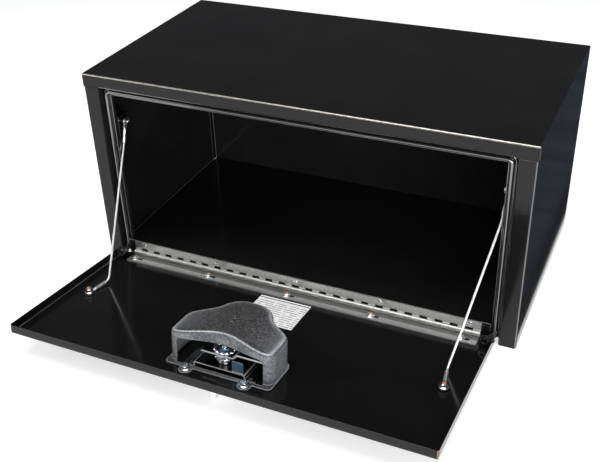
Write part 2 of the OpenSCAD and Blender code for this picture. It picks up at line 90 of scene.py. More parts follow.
# latch axis from the hinge, the cover's wall and studs, and the bracket's sheet and nuts about the axis
LATCH_S = 250
COVER_T, COVER_STUD_X, COVER_STUD_S = 3, 49, 284
BRACKET_T, BRACKET_NUT_X, BRACKET_NUT_S, BRACKET_MID = 2, 50, 18, -5


def shift(x, y, z=0.0):
    return Matrix.Translation((x, y, z))


def turn(axis, degrees):
    return Matrix.Rotation(math.radians(degrees), 4, axis)


def direction(matrix, vector):
    return matrix.to_3x3() @ Vector(vector)


# face frame: x to the right, y in from the front face, z up
FACE = Matrix.Scale(MM, 4) @ shift(0, -BODY_D / 2)
# door frame: x along the hinge, s out from the hinge axis, h above the skin
DOOR = (
    FACE
    @ shift(0, PIN_Y, PIN_Z)
    @ Matrix.Rotation(-TILT, 4, "X")
    @ shift(0, 0, -SKIN_DROP)
    @ Matrix.Diagonal((1, -1, 1, 1))
)
LATCH = DOOR @ shift(0, LATCH_S)
# left upper stud: z out along the stud
UPPER = FACE @ shift(-PLATE_X, UPPER_Y, UPPER_Z) @ turn("Y", 90)
FLIP_X = Matrix.Diagonal((-1, 1, 1, 1))
SIDES = (("left", Matrix.Identity(4)), ("right", FLIP_X))
IN_LATCH = LATCH.to_3x3().inverted() * MM
LABEL_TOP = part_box("label")[1].y


# ---------------------------------------------------------------- materials
class Nodes:
    """A node material, built a line at a time."""

    def __init__(self, name):
        self.mat = bpy.data.materials.new(name)
        self.mat.use_nodes = True
        self.tree = self.mat.node_tree
        self.tree.nodes.clear()
        surface = self.tree.nodes.new("ShaderNodeOutputMaterial").inputs["Surface"]
        self.bsdf = self.tree.nodes.new("ShaderNodeBsdfPrincipled")
        self.link(self.bsdf.outputs[0], surface)
        place = self.tree.nodes.new("ShaderNodeTexCoord")
        self.coords, self.normals = place.outputs["Object"], place.outputs["Normal"]
        self.height = None

    def link(self, a, b):
        self.tree.links.new(a, b)

    def set(self, **values):
        for key, value in values.items():
            self.bsdf.inputs[key.replace("_", " ")].default_value = value

    def stretch(self, scale):
        m = self.tree.nodes.new("ShaderNodeMapping")
        m.inputs["Scale"].default_value = scale
        self.link(self.coords, m.inputs["Vector"])
        return m.outputs[0]

    def noise(self, scale, detail=3.0, rough=0.5, at=None):
        n = self.tree.nodes.new("ShaderNodeTexNoise")
        n.inputs["Scale"].default_value = scale
        n.inputs["Detail"].default_value = detail
        n.inputs["Roughness"].default_value = rough
        self.link(at or self.coords, n.inputs["Vector"])
        return n.outputs["Fac"]

    def cells(self, scale, output="Distance"):
        n = self.tree.nodes.new("ShaderNodeTexVoronoi")
        n.inputs["Scale"].default_value = scale
        self.link(self.coords, n.inputs["Vector"])
        return n.outputs[output]

    def ramp(self, fac, stops):
        n = self.tree.nodes.new("ShaderNodeValToRGB")
        while len(n.color_ramp.elements) < len(stops):
            n.color_ramp.elements.new(0.5)
        for e, (pos, colour) in zip(n.color_ramp.elements, stops):
            e.position = pos
            e.color = (*colour, 1) if isinstance(colour, tuple) else (colour, colour, colour, 1)
        self.link(fac, n.inputs["Fac"])
        return n.outputs["Color"]

    def range(self, fac, low, high, a=0.0, b=1.0):
        n = self.tree.nodes.new("ShaderNodeMapRange")
        n.inputs["From Min"].default_value = a
        n.inputs["From Max"].default_value = b
        n.inputs["To Min"].default_value = low
        n.inputs["To Max"].default_value = high
        self.link(fac, n.inputs["Value"])
        return n.outputs["Result"]

    def math(self, op, a, b):
        n = self.tree.nodes.new("ShaderNodeMath")
        n.operation = op
        for i, v in enumerate((a, b)):
            if isinstance(v, (int, float)):
                n.inputs[i].default_value = v
            else:
                self.link(v, n.inputs[i])
        return n.outputs[0]

    def mix(self, fac, a, b):
        n = self.tree.nodes.new("ShaderNodeMix")
        n.data_type = "RGBA"
        self.link(fac, n.inputs["Factor"])
        for socket, v in ((n.inputs[6], a), (n.inputs[7], b)):
            if isinstance(v, tuple):
                socket.default_value = (*v, 1)
            else:
                self.link(v, socket)
        return n.outputs[2]

    def bump(self, height, strength, distance):
        n = self.tree.nodes.new("ShaderNodeBump")
        n.inputs["Strength"].default_value = strength
        n.inputs["Distance"].default_value = distance
        self.link(height, n.inputs["Height"])
        if self.height:
            self.link(self.height, n.inputs["Normal"])
        self.height = n.outputs["Normal"]
        self.link(self.height, self.bsdf.inputs["Normal"])

    def colour(self, socket):
        self.link(socket, self.bsdf.inputs["Base Color"])

    def roughness(self, socket):
        self.link(socket, self.bsdf.inputs["Roughness"])


def black_coat(name, ior, pale=1.0):
    """Smooth black paint with specks of dust; pale lightens it, as painted light."""
    m = Nodes(name)
    m.set(IOR=ior)
    low, high, warm = 0.0062 * pale, 0.0084 * pale, 1.03
    mottle = m.ramp(m.noise(9, 2), [(0.35, (low * warm, low, low)), (0.7, (high * warm, high, high))])
    dust = m.ramp(m.cells(85), [(0.0, 1.0), (0.045, 0.35), (0.075, 0.0)])
    keep = m.ramp(m.noise(37, 2), [(0.56, 0.0), (0.72, 0.30)])
    m.colour(m.mix(m.math("MULTIPLY", dust, keep), mottle, (0.22, 0.22, 0.23)))
    m.roughness(m.range(m.noise(24, 3), 0.07, 0.15))
    m.bump(m.noise(420, 2), 0.05, 0.0003)
    return m.mat


def moulded_plastic():
    """Grained on top and smoother elsewhere; paler where the mould rounds over, a painted highlight, and paler
    on upright faces than on the slopes between, painted light by facing.
    """
    m = Nodes("textured_moulded_plastic")
    m.set(Specular_IOR_Level=0.5)
    facing = m.tree.nodes.new("ShaderNodeSeparateXYZ")
    m.link(m.normals, facing.inputs[0])
    top = m.ramp(facing.outputs["Z"], [(0.935, 0.0), (0.99, 1.0)])
    # painted highlight on the rounded lip and painted light on the upright sides, by which way a face looks
    painted_light_by_facing = m.ramp(facing.outputs["Z"], [(0.2, 0.36), (0.45, 0.08), (0.72, 0.12), (0.87, 0.9)])
    grain = m.noise(430, 5, 0.75)
    grained = m.ramp(grain, [(0.40, (0.010, 0.010, 0.011)), (0.52, (0.034, 0.034, 0.036)), (0.64, 0.20)])
    side = m.ramp(m.noise(320, 3), [(0.32, (0.03, 0.032, 0.035)), (0.68, (0.10, 0.104, 0.11))])
    pale = m.ramp(m.noise(320, 3), [(0.32, (0.26, 0.27, 0.285)), (0.68, (0.48, 0.49, 0.51))])
    m.colour(m.mix(top, m.mix(painted_light_by_facing, side, pale), grained))
    m.roughness(m.range(top, 0.26, 0.52))
    m.bump(grain, 0.4, 0.0005)
    return m.mat


def seal_rubber():
    m = Nodes("extruded_rubber")
    m.set(IOR=2.5)
    m.colour(m.ramp(m.noise(70, 3), [(0.3, (0.010, 0.010, 0.011)), (0.7, (0.022, 0.022, 0.023))]))
    m.roughness(m.range(m.noise(120, 2), 0.10, 0.2))
    m.bump(m.noise(700, 3), 0.05, 0.0003)
    return m.mat


def galvanised(name, rolled=False):
    """Spangled zinc; on the swinging leaf the half beside the barrel is darker, a painted shade, and the outer
    half lighter, a painted highlight.
    """
    m = Nodes(name)
    m.set(Metallic=1.0)
    fleck = m.noise(520, 4, 0.7)
    spangle = m.cells(210, output="Color")
    base = m.ramp(fleck, [(0.28, 0.30), (0.5, (0.58, 0.58, 0.57)), (0.72, (0.88, 0.88, 0.86))])
    base = m.mix(m.range(spangle, 0.0, 0.45), base, (0.60, 0.60, 0.59))
    if rolled:
        place = m.tree.nodes.new("ShaderNodeSeparateXYZ")
        m.link(m.coords, place.inputs[0])
        band_y, barrel_y = ((FACE @ Vector((0, y, 0))).y for y in (BAND_END, BARREL_SIDE))
        along = m.range(place.outputs["Y"], 0.0, 1.0, band_y, barrel_y)
        # painted shade in a band beside the barrel
        band = m.ramp(along, [(0.0, 0.0), (0.2, 0.62), (0.86, 0.62), (1.0, 0.0)])
        base = m.mix(band, base, (0.10, 0.10, 0.10))
        # painted highlight over the outer half of the leaf
        base = m.mix(m.ramp(along, [(0.0, 0.6), (0.15, 0.0)]), base, (0.97, 0.97, 0.96))
    m.colour(base)
    m.roughness(m.range(m.noise(300, 3), 0.3, 0.5))
    m.bump(fleck, 0.3, 0.0003)
    return m.mat


def tinted(value, tint):
    return tuple(min(1, value * t) for t in tint)


def zinc(name, low=0.62, high=0.86, tint=(0.98, 1.0, 1.03), rough=(0.16, 0.3)):
    """Cloudy bare or plated metal between two brightnesses of a tint."""
    m = Nodes(name)
    m.set(Metallic=1.0)
    m.colour(m.ramp(m.noise(240, 3), [(0.3, tinted(low, tint)), (0.7, tinted(high, tint))]))
    m.roughness(m.range(m.noise(500, 2), *rough))
    m.bump(m.noise(900, 2), 0.12, 0.0002)
    return m.mat


def copper_flash():
    m = Nodes("copper_flashed_steel")
    m.set(Metallic=1.0)
    m.colour(m.ramp(m.noise(420, 3), [(0.3, (0.70, 0.27, 0.10)), (0.7, (0.93, 0.46, 0.20))]))
    m.roughness(m.range(m.noise(300, 2), 0.28, 0.42))
    m.bump(m.noise(800, 2), 0.15, 0.0002)
    return m.mat


def wire():
    m = Nodes("laid_steel_wire")
    m.set(Metallic=1.0)
    m.colour(m.ramp(m.noise(500, 3), [(0.3, 0.88), (0.7, 0.99)]))
    m.roughness(m.range(m.noise(260, 2), 0.34, 0.5))
    m.bump(m.noise(1500, 2), 0.2, 0.0002)
    return m.mat


def chrome(name, low):
    m = Nodes(name)
    m.set(Metallic=1.0)
    dark, light = ((v, v + 0.01, v + 0.03) for v in (low, low + 0.08))
    m.colour(m.ramp(m.noise(30, 2), [(0.3, dark), (0.7, light)]))
    m.roughness(m.range(m.noise(90, 3), 0.06, 0.14))
    m.bump(m.noise(300, 2), 0.03, 0.0002)
    return m.mat


def paper():
    """White film printed with a black rule and plain grey bars, no lettering."""
    m = Nodes("printed_label")
    m.set(Specular_IOR_Level=0.4)
    sep = m.tree.nodes.new("ShaderNodeSeparateXYZ")
    m.link(m.coords, sep.inputs[0])
    down, line_pitch = sep.outputs["Y"], 0.0062
    wave = m.math("SINE", m.math("MULTIPLY", down, 2 * math.pi / line_pitch), 0)
    line = m.ramp(m.range(wave, 0.0, 1.0, -1.0, 1.0), [(0.62, 0.0), (0.8, 1.0)])
    broken = m.ramp(m.noise(230, 1, at=m.stretch((1, 0.2, 1))), [(0.40, 0.0), (0.46, 1.0)])
    body = m.range(down, 1.0, 0.0, LABEL_TOP - 0.010, LABEL_TOP - 0.0095)
    ink = m.math("MULTIPLY", m.math("MULTIPLY", line, broken), m.math("MULTIPLY", body, 0.8))
    off_rule = m.math("ABSOLUTE", m.math("SUBTRACT", down, LABEL_TOP - 0.0052), 0)
    rule = m.math("LESS_THAN", off_rule, 0.0011)
    printed = m.mix(ink, (0.95, 0.95, 0.94), (0.20, 0.20, 0.21))
    m.colour(m.mix(rule, printed, (0.02, 0.02, 0.02)))
    m.roughness(m.range(m.noise(80, 2), 0.3, 0.45))
    m.bump(m.noise(180, 2), 0.1, 0.0003)
    return m.mat


COAT = black_coat("gloss_black_coat", 1.33)
# the coat inside the box is painted paler: painted light for the light that reaches in
INNER_COAT = black_coat("inside_coat_painted_light", 1.33, 1.8)
BEND_COAT = black_coat("gloss_on_bends", 2.3)
# warm brown on the door's right edge: painted reflection
RIM_REFLECTION = zinc("painted_warm_reflection", 0.16, 0.3, (1, 0.68, 0.32), (0.3, 0.42))
# a lighter coat on bends and broken edges: painted highlight
BEND_HIGHLIGHT = zinc("coat_painted_highlight_at_bend", 0.27, 0.47, (1, 0.95, 0.87), (0.3, 0.42))
PLASTIC = moulded_plastic()
RUBBER = seal_rubber()
GALV = galvanised("galvanised_leaf")
LEAF_PAINTED_SHADE = galvanised("galvanised_swinging_leaf", True)
ZINC = zinc("zinc_plate")
STEEL = zinc("swaged_steel", 0.82, 0.96, (0.97, 0.98, 1.0), (0.36, 0.5))
SPRING = zinc("spring_wire", 0.4, 0.62, (1, 1, 1), (0.2, 0.3))
OXIDE = zinc("black_oxide", 0.02, 0.05, (1, 1, 1), (0.3, 0.45))
COPPER = copper_flash()
WIRE = wire()
CHROME = chrome("polished_chrome", 0.30)
BRIGHT_CHROME = chrome("bright_chrome", 0.66)
BLUE_ZINC = zinc("blue_zinc", 0.55, 0.9, (0.42, 0.74, 1.0), (0.34, 0.5))
PAPER = paper()
# edges and front faces of the latch plates lightened: painted highlight
EDGE_PAINTED_HIGHLIGHT = zinc("sheared_edge_painted_highlight", 0.95, 1.0, (1, 1, 1), (0.5, 0.62))
# flat faces of the latch plates darkened: painted shade for the dark they reflect
ZINC_PAINTED_SHADE = zinc("zinc_with_painted_shade", 0.14, 0.28, (0.9, 0.97, 1.06), (0.12, 0.22))
BY_SLOT = {
    "black_coat": COAT,
    "cover_plastic": PLASTIC,
    "seal_rubber": RUBBER,
    "hinge_steel": GALV,
    "zinc_plate": ZINC,
    "copper_stud": COPPER,
    "black_oxide": OXIDE,
    "wire_rope": WIRE,
    "crimped_steel": STEEL,
    "spring_steel": SPRING,
    "chrome_handle": CHROME,
    "label_film": PAPER,
}
slot_of = {s["node"]: s["material_slot"] for s in frame["record"]["subparts"]}
for node, obj in frame["nodes"].items():
    obj.data.materials.clear()
    obj.data.materials.append(BY_SLOT[slot_of[node]])


# ---------------------------------------------------------------- mesh building
def linked(name, data):
    obj = bpy.data.objects.new(name, data)
    bpy.context.scene.collection.objects.link(obj)
    return obj


def built(name, shapes):
    """One mesh from a list of (verts, faces, matrix)."""
    bm = bmesh.new()
    for verts, faces, matrix in shapes:
        made = [bm.verts.new(matrix @ Vector(v)) for v in verts]
        for f in faces:
            bm.faces.new([made[i] for i in f])
    bmesh.ops.recalc_face_normals(bm, faces=bm.faces)
    mesh = bpy.data.meshes.new(name)
    bm.to_mesh(mesh)
    bm.free()
    return mesh


def piece(name, shapes, body, slot, *nodes, angle=35, blend=None):
    """One smooth shaded piece from a list of (verts, faces, matrix)."""
    return smooth_piece(name, built(name, shapes), body, slot, nodes, angle, blend)


def smooth_piece(name, mesh, body, slot, nodes, angle, blend=None):
    mesh.materials.clear()
    mesh.materials.append(BY_SLOT[slot])
    mesh.shade_smooth()
    mesh.set_sharp_from_angle(angle=math.radians(angle))
    return placed(name, mesh, body, nodes, blend)


def placed(name, mesh, body, nodes, blend=None):
    """The piece rides on body, or, given blend, is left where it is on no body; it stands for nodes."""
    obj = linked(name, mesh)
    if blend:
        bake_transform(obj)
    else:
        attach(obj, body)
    if nodes:
        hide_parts(*nodes)
    return obj


def tube(rings, closed=False, caps=True):
    """Faces over rings of equal length; closed joins the last ring to the first."""
    n, m = len(rings[0]), len(rings)
    verts = [p for ring in rings for p in ring]
    faces = []
    for i in range(m if closed else m - 1):
        j = (i + 1) % m
        for k in range(n):
            after = (k + 1) % n
            faces.append((i * n + k, i * n + after, j * n + after, j * n + k))
    if caps and not closed:
        faces.append(tuple(range(n - 1, -1, -1)))
        faces.append(tuple((m - 1) * n + k for k in range(n)))
    return verts, faces


def spin(profile, n=40, shape=None, closed=True):
    """Rings about Z from (r, z) pairs; shape(angle, r, z) may return another r."""
    rings = []
    for r, z in profile:
        ring = []
        for k in range(n):
            a = 2 * math.pi * k / n
            rr = shape(a, r, z) if shape else r
            ring.append((rr * math.cos(a), rr * math.sin(a), z))
        rings.append(ring)
    return tube(rings, closed=closed)


def hex_radius(a, apothem):
    """Distance from the middle of a hexagon to its side, in the direction a."""
    step = math.pi / 3
    return apothem / math.cos((a % step) - step / 2)


def flange_nut(bore, flange, across, height):
    """Hexagon nut on a round flange, with a chamfered top."""
    apothem, hexagon = across / 2, -1
    prof = [(bore, 0), (flange * 0.97, 0), (flange, 0.25), (flange, 0.75), (flange * 0.9, 1.35)]
    prof += [(hexagon, z) for z in (1.75, height - 1.15, height - 0.55, height - 0.12, height)]
    prof += [(bore + 0.35, height), (bore, height - 0.4)]

    def shape(a, r, z):
        if r != hexagon:
            return r
        chamfer = apothem * 1.09 + (height - 0.45 - z) * 1.75
        return min(hex_radius(a, apothem), chamfer)

    return spin(prof, 72, shape)


def thread(r, low, high, pitch=1.0, base=0.0, base_h=0.0):
    """Stud with a rolled thread, a chamfered end and, if base is given, a round weld base."""
    around, per_turn, chamfer, depth = 28, 7, 0.9, 0.34 * pitch
    levels = []
    if base:
        levels = [(base * 0.9, 0), (base, 0.3), (base, base_h - 0.35)]
        levels += [(base - 0.5, base_h - 0.05), (r, base_h)]
        low = base_h + 0.05
    plain = len(levels)
    steps = max(4, int((high - low) / pitch * per_turn))
    levels += [(r, low + (high - low) * i / steps) for i in range(steps + 1)]
    rings = []
    for level, (wide, z) in enumerate(levels):
        ring = []
        for k in range(around):
            a, rr = 2 * math.pi * k / around, wide
            if level >= plain:
                phase = (z / pitch - a / (2 * math.pi)) % 1.0
                rr = wide - depth * abs(2 * phase - 1)
                rr = min(rr, r - chamfer + (high - z) * chamfer) if high - z < 1 else rr
            ring.append((rr * math.cos(a), rr * math.sin(a), z))
        rings.append(ring)
    return tube(rings)


def dome(r, height):
    """Low rounded head on a short straight rim."""
    centre, rim = 0.05, 0.15
    arc = [t * math.pi / 14 for t in range(1, 7)]
    prof = [(centre, 0), (r, 0), (r, rim)]
    prof += [(r * math.cos(a), rim + (height - rim) * math.sin(a)) for a in arc]
    return spin(prof + [(centre, height)], 28, closed=False)


def frames_along(path):
    """(point, side, up) at each point, with a side that turns as little as it can."""
    out, side = [], None
    for i, p in enumerate(path):
        t = (path[min(i + 1, len(path) - 1)] - path[max(i - 1, 0)]).normalized()
        side = (t.orthogonal() if side is None else side - t * side.dot(t)).normalized()
        out.append((p, side, t.cross(side)))
    return out


def even(path, step):
    """The same line with points a step apart."""
    length = [0.0]
    for a, b in zip(path, path[1:]):
        length.append(length[-1] + (b - a).length)
    n = max(2, int(round(length[-1] / step)))
    out, i = [], 0
    for k in range(n + 1):
        d = length[-1] * k / n
        while i < len(path) - 2 and length[i + 1] < d:
            i += 1
        f = (d - length[i]) / (length[i + 1] - length[i])
        out.append(path[i].lerp(path[i + 1], min(1.0, f)))
    return out


# ---------------------------------------------------------------- studs, nuts and rivets
def copies(shape, places):
    return [(*shape, place) for place in places]


left_stud = DOOR @ shift(-LOWER_X, LOWER_S)
upper_places, lower_places = ((m, FLIP_X @ m) for m in (UPPER, left_stud))
hinge_x = [k * RIVET_PITCH for k in range(-2, 3)]
hinge_places = [DOOR @ shift(x + STUD_SHIFT, STUD_S) for x in hinge_x]
cover_x = (-COVER_STUD_X, COVER_STUD_X)
cover_places = [DOOR @ shift(x, COVER_STUD_S) for x in cover_x]
corners = [(x, s) for x in (-1, 1) for s in (-1, 1)]

spacer = spin([(3, 0), (5.2, 0), (5.5, 0.3), (5.5, UPPER_GAP - 0.3), (5.2, UPPER_GAP), (3, UPPER_GAP)], 40)
upper_studs = [(*part, m) for m in upper_places for part in (spacer, thread(3, 0.05, 15.5))]
piece("upper_stud_threads", upper_studs, "box", "zinc_plate", "upper_studs")
lower_studs = copies(thread(3, 0, 14, base=5, base_h=STUD_GAP), lower_places)
piece("lower_stud_threads", lower_studs, "door", "copper_stud", "lower_studs")
hinge_studs = copies(thread(2.5, 0.02, 7, 0.8), hinge_places)
piece("hinge_stud_threads", hinge_studs, "door", "copper_stud", "hinge_studs")
cover_studs = copies(thread(3, 0.02, 9), cover_places)
piece("cover_stud_threads", cover_studs, "door", "zinc_plate", "cover_studs")

# each nut sits on what it clamps, turned a little its own way
on_upper = [m @ shift(0, 0, UPPER_GAP + EYE_T) @ turn("Z", 13) for m in upper_places]
piece("upper_flange_nuts", copies(flange_nut(2.95, 7, 10, 5), on_upper), "box", "zinc_plate", "upper_nuts")
on_lower = [m @ shift(0, 0, STUD_GAP + EYE_T) @ turn("Z", 20) for m in lower_places]
piece("lower_flange_nuts", copies(flange_nut(2.95, 8, 11, 6.5), on_lower), "door", "zinc_plate", "lower_nuts")
on_leaf = [m @ shift(0, 0, LEAF_T) @ turn("Z", 11 * i) for i, m in enumerate(hinge_places)]
piece("hinge_flange_nuts", copies(flange_nut(2.45, 7, 9.5, 4), on_leaf), "door", "zinc_plate", "hinge_nuts")
on_cover = [m @ shift(0, 0, COVER_T) @ turn("Z", x) for m, x in zip(cover_places, cover_x)]
piece("cover_flange_nuts", copies(flange_nut(2.95, 8, 11, 5.5), on_cover), "door", "zinc_plate", "cover_nuts")
on_bracket = [
    LATCH @ shift(BRACKET_NUT_X * x, BRACKET_MID + BRACKET_NUT_S * s, BRACKET_T) @ turn("Z", 17 * x + 5 * s)
    for x, s in corners
]
bracket_nuts = copies(flange_nut(2.5, 5.5, 8, 3.4), on_bracket)
piece("bracket_flange_nuts", bracket_nuts, "door", "black_oxide", "bracket_nuts")
rivets = [FACE @ shift(x, RIVET_OUT, RIVET_Z) @ turn("X", 90) for x in hinge_x]
piece("rivet_heads", copies(dome(4.5, 1.2), rivets), "box", "zinc_plate", "hinge_rivets")


# ---------------------------------------------------------------- stay cables
def door_point(x, s, h):
    c, d = math.cos(TILT), math.sin(TILT)
    return Vector((x, PIN_Y - s * c + (h - SKIN_DROP) * d, PIN_Z + s * d + (h - SKIN_DROP) * c))


def bent(a, b, c, steps=12):
    """A curved bend from a to c, drawn towards b."""
    return [(1 - t) ** 2 * a + 2 * t * (1 - t) * b + t * t * c for t in [k / steps for k in range(steps + 1)]]


# where the rope leaves each sleeve, and the way it points there
swing, low_lift = math.radians(LOWER_TURN), math.radians(LOWER_LIFT)


def low_point(along, above):
    return door_point(-LOWER_X + along * math.sin(swing), LOWER_S - along * math.cos(swing), above)


eye_mid = STUD_GAP + EYE_T / 2
rope_low = low_point(EYE_BACK + SLEEVE_L * math.cos(low_lift), eye_mid + SLEEVE_L * math.sin(low_lift))
rope_out = (rope_low - low_point(EYE_BACK, eye_mid)).normalized()
fall, top_lift = math.radians(UPPER_FALL), math.radians(UPPER_LIFT)
hang = Vector((0, -math.cos(fall), -math.sin(fall)))
upper_eye = Vector((-PLATE_X + UPPER_GAP + EYE_T / 2, UPPER_Y, UPPER_Z))
inward = Vector((SLEEVE_L * math.sin(top_lift), 0, 0))
rope_top = upper_eye + (EYE_BACK + SLEEVE_L * math.cos(top_lift)) * hang + inward
rope_down = (rope_top - upper_eye - EYE_BACK * hang).normalized()
low_bend = rope_low + BEND_REACH * rope_out
top_bend = rope_top + BEND_REACH * rope_down
rope_up = (top_bend - low_bend).normalized()
rope_path = bent(rope_low + 0.3 * rope_out, low_bend, low_bend + BEND_REACH * rope_up)
rope_path += bent(top_bend - BEND_REACH * rope_up, top_bend, rope_top - 0.05 * rope_down)


def laid_rope(path, r, lay=21.0, strands=6):
    """Strands laid round each other, one turn in each lay."""
    groove, around = 0.2, 36
    pts = even(path, 1.4)
    rings, gone = [], 0.0
    for i, (p, side, up) in enumerate(frames_along(pts)):
        if i:
            gone += (p - pts[i - 1]).length
        ring = []
        for k in range(around):
            a = 2 * math.pi * k / around
            lobe = abs(math.cos(strands / 2 * (a - 2 * math.pi * gone / lay)))
            rr = r * (1 - groove + groove * lobe**0.7)
            ring.append(p + rr * (math.cos(a) * side + math.sin(a) * up))
        rings.append(ring)
    return tube(rings)


def terminal(lift_deg):
    """Stamped eye, its neck and a swaged sleeve with two crimped bands."""
    n, neck_l, broken = 64, 11, 0.3
    outside = [(0.0, broken), (0.35, 0.0), (EYE_T - 0.35, 0.0), (EYE_T, broken)]
    rings = []
    for z, trim in [(0.15, None)] + outside + [(EYE_T - 0.15, None)]:
        ring = []
        for k in range(n):
            a = 2 * math.pi * k / n
            if trim is None:
                rr = EYE_BORE
            else:
                rr = EYE_R - trim
                if math.sin(a) < 0:
                    reach = min(neck_l / -math.sin(a), NECK_HALF / max(1e-6, abs(math.cos(a))))
                    rr = max(rr, reach - trim)
            ring.append((rr * math.cos(a), rr * math.sin(a), z))
        rings.append(ring)
    eye = tube(rings, closed=True)
    rings = []
    up, out = math.sin(math.radians(lift_deg)), -math.cos(math.radians(lift_deg))
    # distance along, half width and half height of the neck and sleeve; where it is crimped, the height is 0
    r, end = SLEEVE_R, SLEEVE_L
    profile = [(-3.0, 4.0, 1.15), (0.0, 3.7, 1.35), (3.0, r + 0.2, 2.2), (5.5, r, 2.9), (7.6, r, r)]
    profile += [(8.0, r - 0.45, 0), (9.0, r - 0.5, 0), (16.6, r - 0.5, 0), (17.6, r - 0.45, 0), (18.0, r, r)]
    profile += [(19.6, r, r), (20.0, r - 0.45, 0), (21.0, r - 0.5, 0), (end - 3.4, r - 0.5, 0)]
    profile += [(end - 2.4, r - 0.45, 0), (end - 2.0, r, r), (end - 0.8, r, r), (end, r - 0.7, r - 0.7)]
    for d, b, c in profile:
        ring = []
        for k in range(48):
            a = 2 * math.pi * k / 48
            if c == 0:
                rr = min(hex_radius(a, b + 0.15), r)
                u, v = rr * math.cos(a), rr * math.sin(a)
            else:
                u, v = b * math.cos(a), c * math.sin(a)
            ring.append((u, -EYE_BACK + d * out - v * up, EYE_T / 2 + d * up + v * -out))
        rings.append(ring)
    return [eye, tube(rings)]


upper_place = UPPER @ shift(0, 0, UPPER_GAP) @ turn("Z", UPPER_FALL)
lower_place = left_stud @ shift(0, 0, STUD_GAP) @ turn("Z", LOWER_TURN)
rope = laid_rope(rope_path, ROPE_R)
for side, flip in SIDES:
    upper_end = [(*part, flip @ upper_place) for part in terminal(UPPER_LIFT)]
    lower_end = [(*part, flip @ lower_place) for part in terminal(LOWER_LIFT)]
    piece(side + "_upper_end", upper_end, "box", "crimped_steel", side + "_upper_terminal")
    piece(side + "_lower_end", lower_end, "door", "crimped_steel", side + "_lower_terminal")
    place = flip @ FACE
    ends = (tuple(place @ (rope_top + 6 * rope_down)), tuple(place @ (rope_low + 4 * rope_out)))
    piece(side + "_wire_rope", [(*rope, place)], "box", "wire_rope", side + "_cable", blend=ends, angle=60)


# ---------------------------------------------------------------- eased sheet metal
# the bracket's stop tab is what stands above this height over the door skin
TAB_LOW = 11.5


def welded(node):
    """A copy of a CAD node's mesh with its faces joined and flat areas merged."""
    bm = bmesh.new()
    bm.from_mesh(frame["nodes"][node].data)
    bmesh.ops.remove_doubles(bm, verts=bm.verts, dist=2e-6)
    bmesh.ops.dissolve_limit(bm, angle_limit=math.radians(1), verts=bm.verts, edges=bm.edges)
    mesh = bpy.data.meshes.new(node)
    bm.to_mesh(mesh)
    bm.free()
    return mesh


def worked(mesh, *steps):
    """The mesh after a stack of modifiers, each (type, settings)."""
    obj = linked("work", mesh)
    for kind, settings in steps:
        mod = obj.modifiers.new(kind, kind)
        for key, value in settings.items():
            setattr(mod, key, value)
    graph = bpy.context.evaluated_depsgraph_get()
    out = bpy.data.meshes.new_from_object(obj.evaluated_get(graph))
    bpy.data.objects.remove(obj)
    return out


def eased(name, node, body, slot, width, segments=2, material=None):
    """A CAD node's shape with its sharp edges broken by width."""
    mesh = welded(node)
    mesh.shade_smooth()
    ease = dict(width=width * MM, segments=segments, limit_method="ANGLE", angle_limit=math.radians(32))
    mesh = worked(mesh, ("BEVEL", ease), ("WEIGHTED_NORMAL", dict(keep_sharp=True)))
    mesh.materials.clear()
    mesh.materials.append(material or BY_SLOT[slot])
    return placed(name, mesh, body, [node])


def paint(obj, material, wanted):
    """The faces that wanted(face) picks take one more material."""
    obj.data.materials.append(material)
    for face in obj.data.polygons:
        if wanted(face):
            face.material_index = len(obj.data.materials) - 1


def bevelled(normal):
    """True for a bend or a broken edge, which faces none of the three directions squarely."""
    return max(abs(c) for c in normal) < 0.97


def edge_faces(obj, material, toward=None, turned=Matrix.Identity(3), beyond=-1.0):
    """Bends and broken edges take a material: all, or those that face toward, beyond an x in metres."""

    def wanted(face):
        normal = turned @ face.normal
        facing = toward is None or normal.dot(Vector(toward)) > 0.2
        return bevelled(normal) and facing and face.center.x > beyond

    paint(obj, material, wanted)


def coat_inside(obj, inward):
    """The side of a wall that faces inward takes a paler coat, painted light for the light that reaches into
    the box.
    """
    paint(obj, INNER_COAT, lambda face: face.normal.dot(Vector(inward)) > 0.9)


def cut_sheet(name, node, body, width, tab=False):
    """A plated sheet part of the latch, its flat faces darkened as painted shade and its edges and front faces
    lightened as painted highlight; its tab, if any, is blue.
    """
    obj = eased(name, node, body, "zinc_plate", width, 4, material=ZINC_PAINTED_SHADE)
    low, up = LATCH @ Vector((0, 0, TAB_LOW)), direction(LATCH, (0, 0, 1))
    bm = bmesh.new()
    bm.from_mesh(obj.data)
    parts = bm.verts[:] + bm.edges[:] + bm.faces[:]
    bmesh.ops.bisect_plane(bm, geom=parts, plane_co=low, plane_no=up)
    bm.to_mesh(obj.data)
    bm.free()
    # painted highlight on the edges and front faces
    paint(obj, EDGE_PAINTED_HIGHLIGHT, lambda face: bevelled(IN_LATCH @ face.normal) or (IN_LATCH @ face.normal).y > 0.9)
    if tab:
        paint(obj, BLUE_ZINC, lambda face: (face.center - low).dot(up) > 0)


BEND, THIN_BEND = 0.5, 0.4
left_wall = eased("left_wall", "left_side_panel", "box", "black_coat", BEND)
coat_inside(left_wall, (1, 0, 0))
right_wall = eased("right_wall", "right_side_panel", "box", "black_coat", BEND)
coat_inside(right_wall, (-1, 0, 0))
edge_faces(right_wall, BEND_COAT, (0.7, -0.7, 0))
back_wall = eased("back_wall", "back_panel", "box", "black_coat", BEND)
coat_inside(back_wall, (0, -1, 0))
# painted highlight on the back's bends and edges
edge_faces(back_wall, BEND_HIGHLIGHT)
sill = eased("floor_and_sill", "bottom_panel", "box", "black_coat", BEND)
coat_inside(sill, (0, 0, 1))
# painted highlight on the floor's and sill's bends and edges
edge_faces(sill, BEND_HIGHLIGHT)
roof = eased("header_and_roof", "top_panel", "box", "black_coat", BEND)
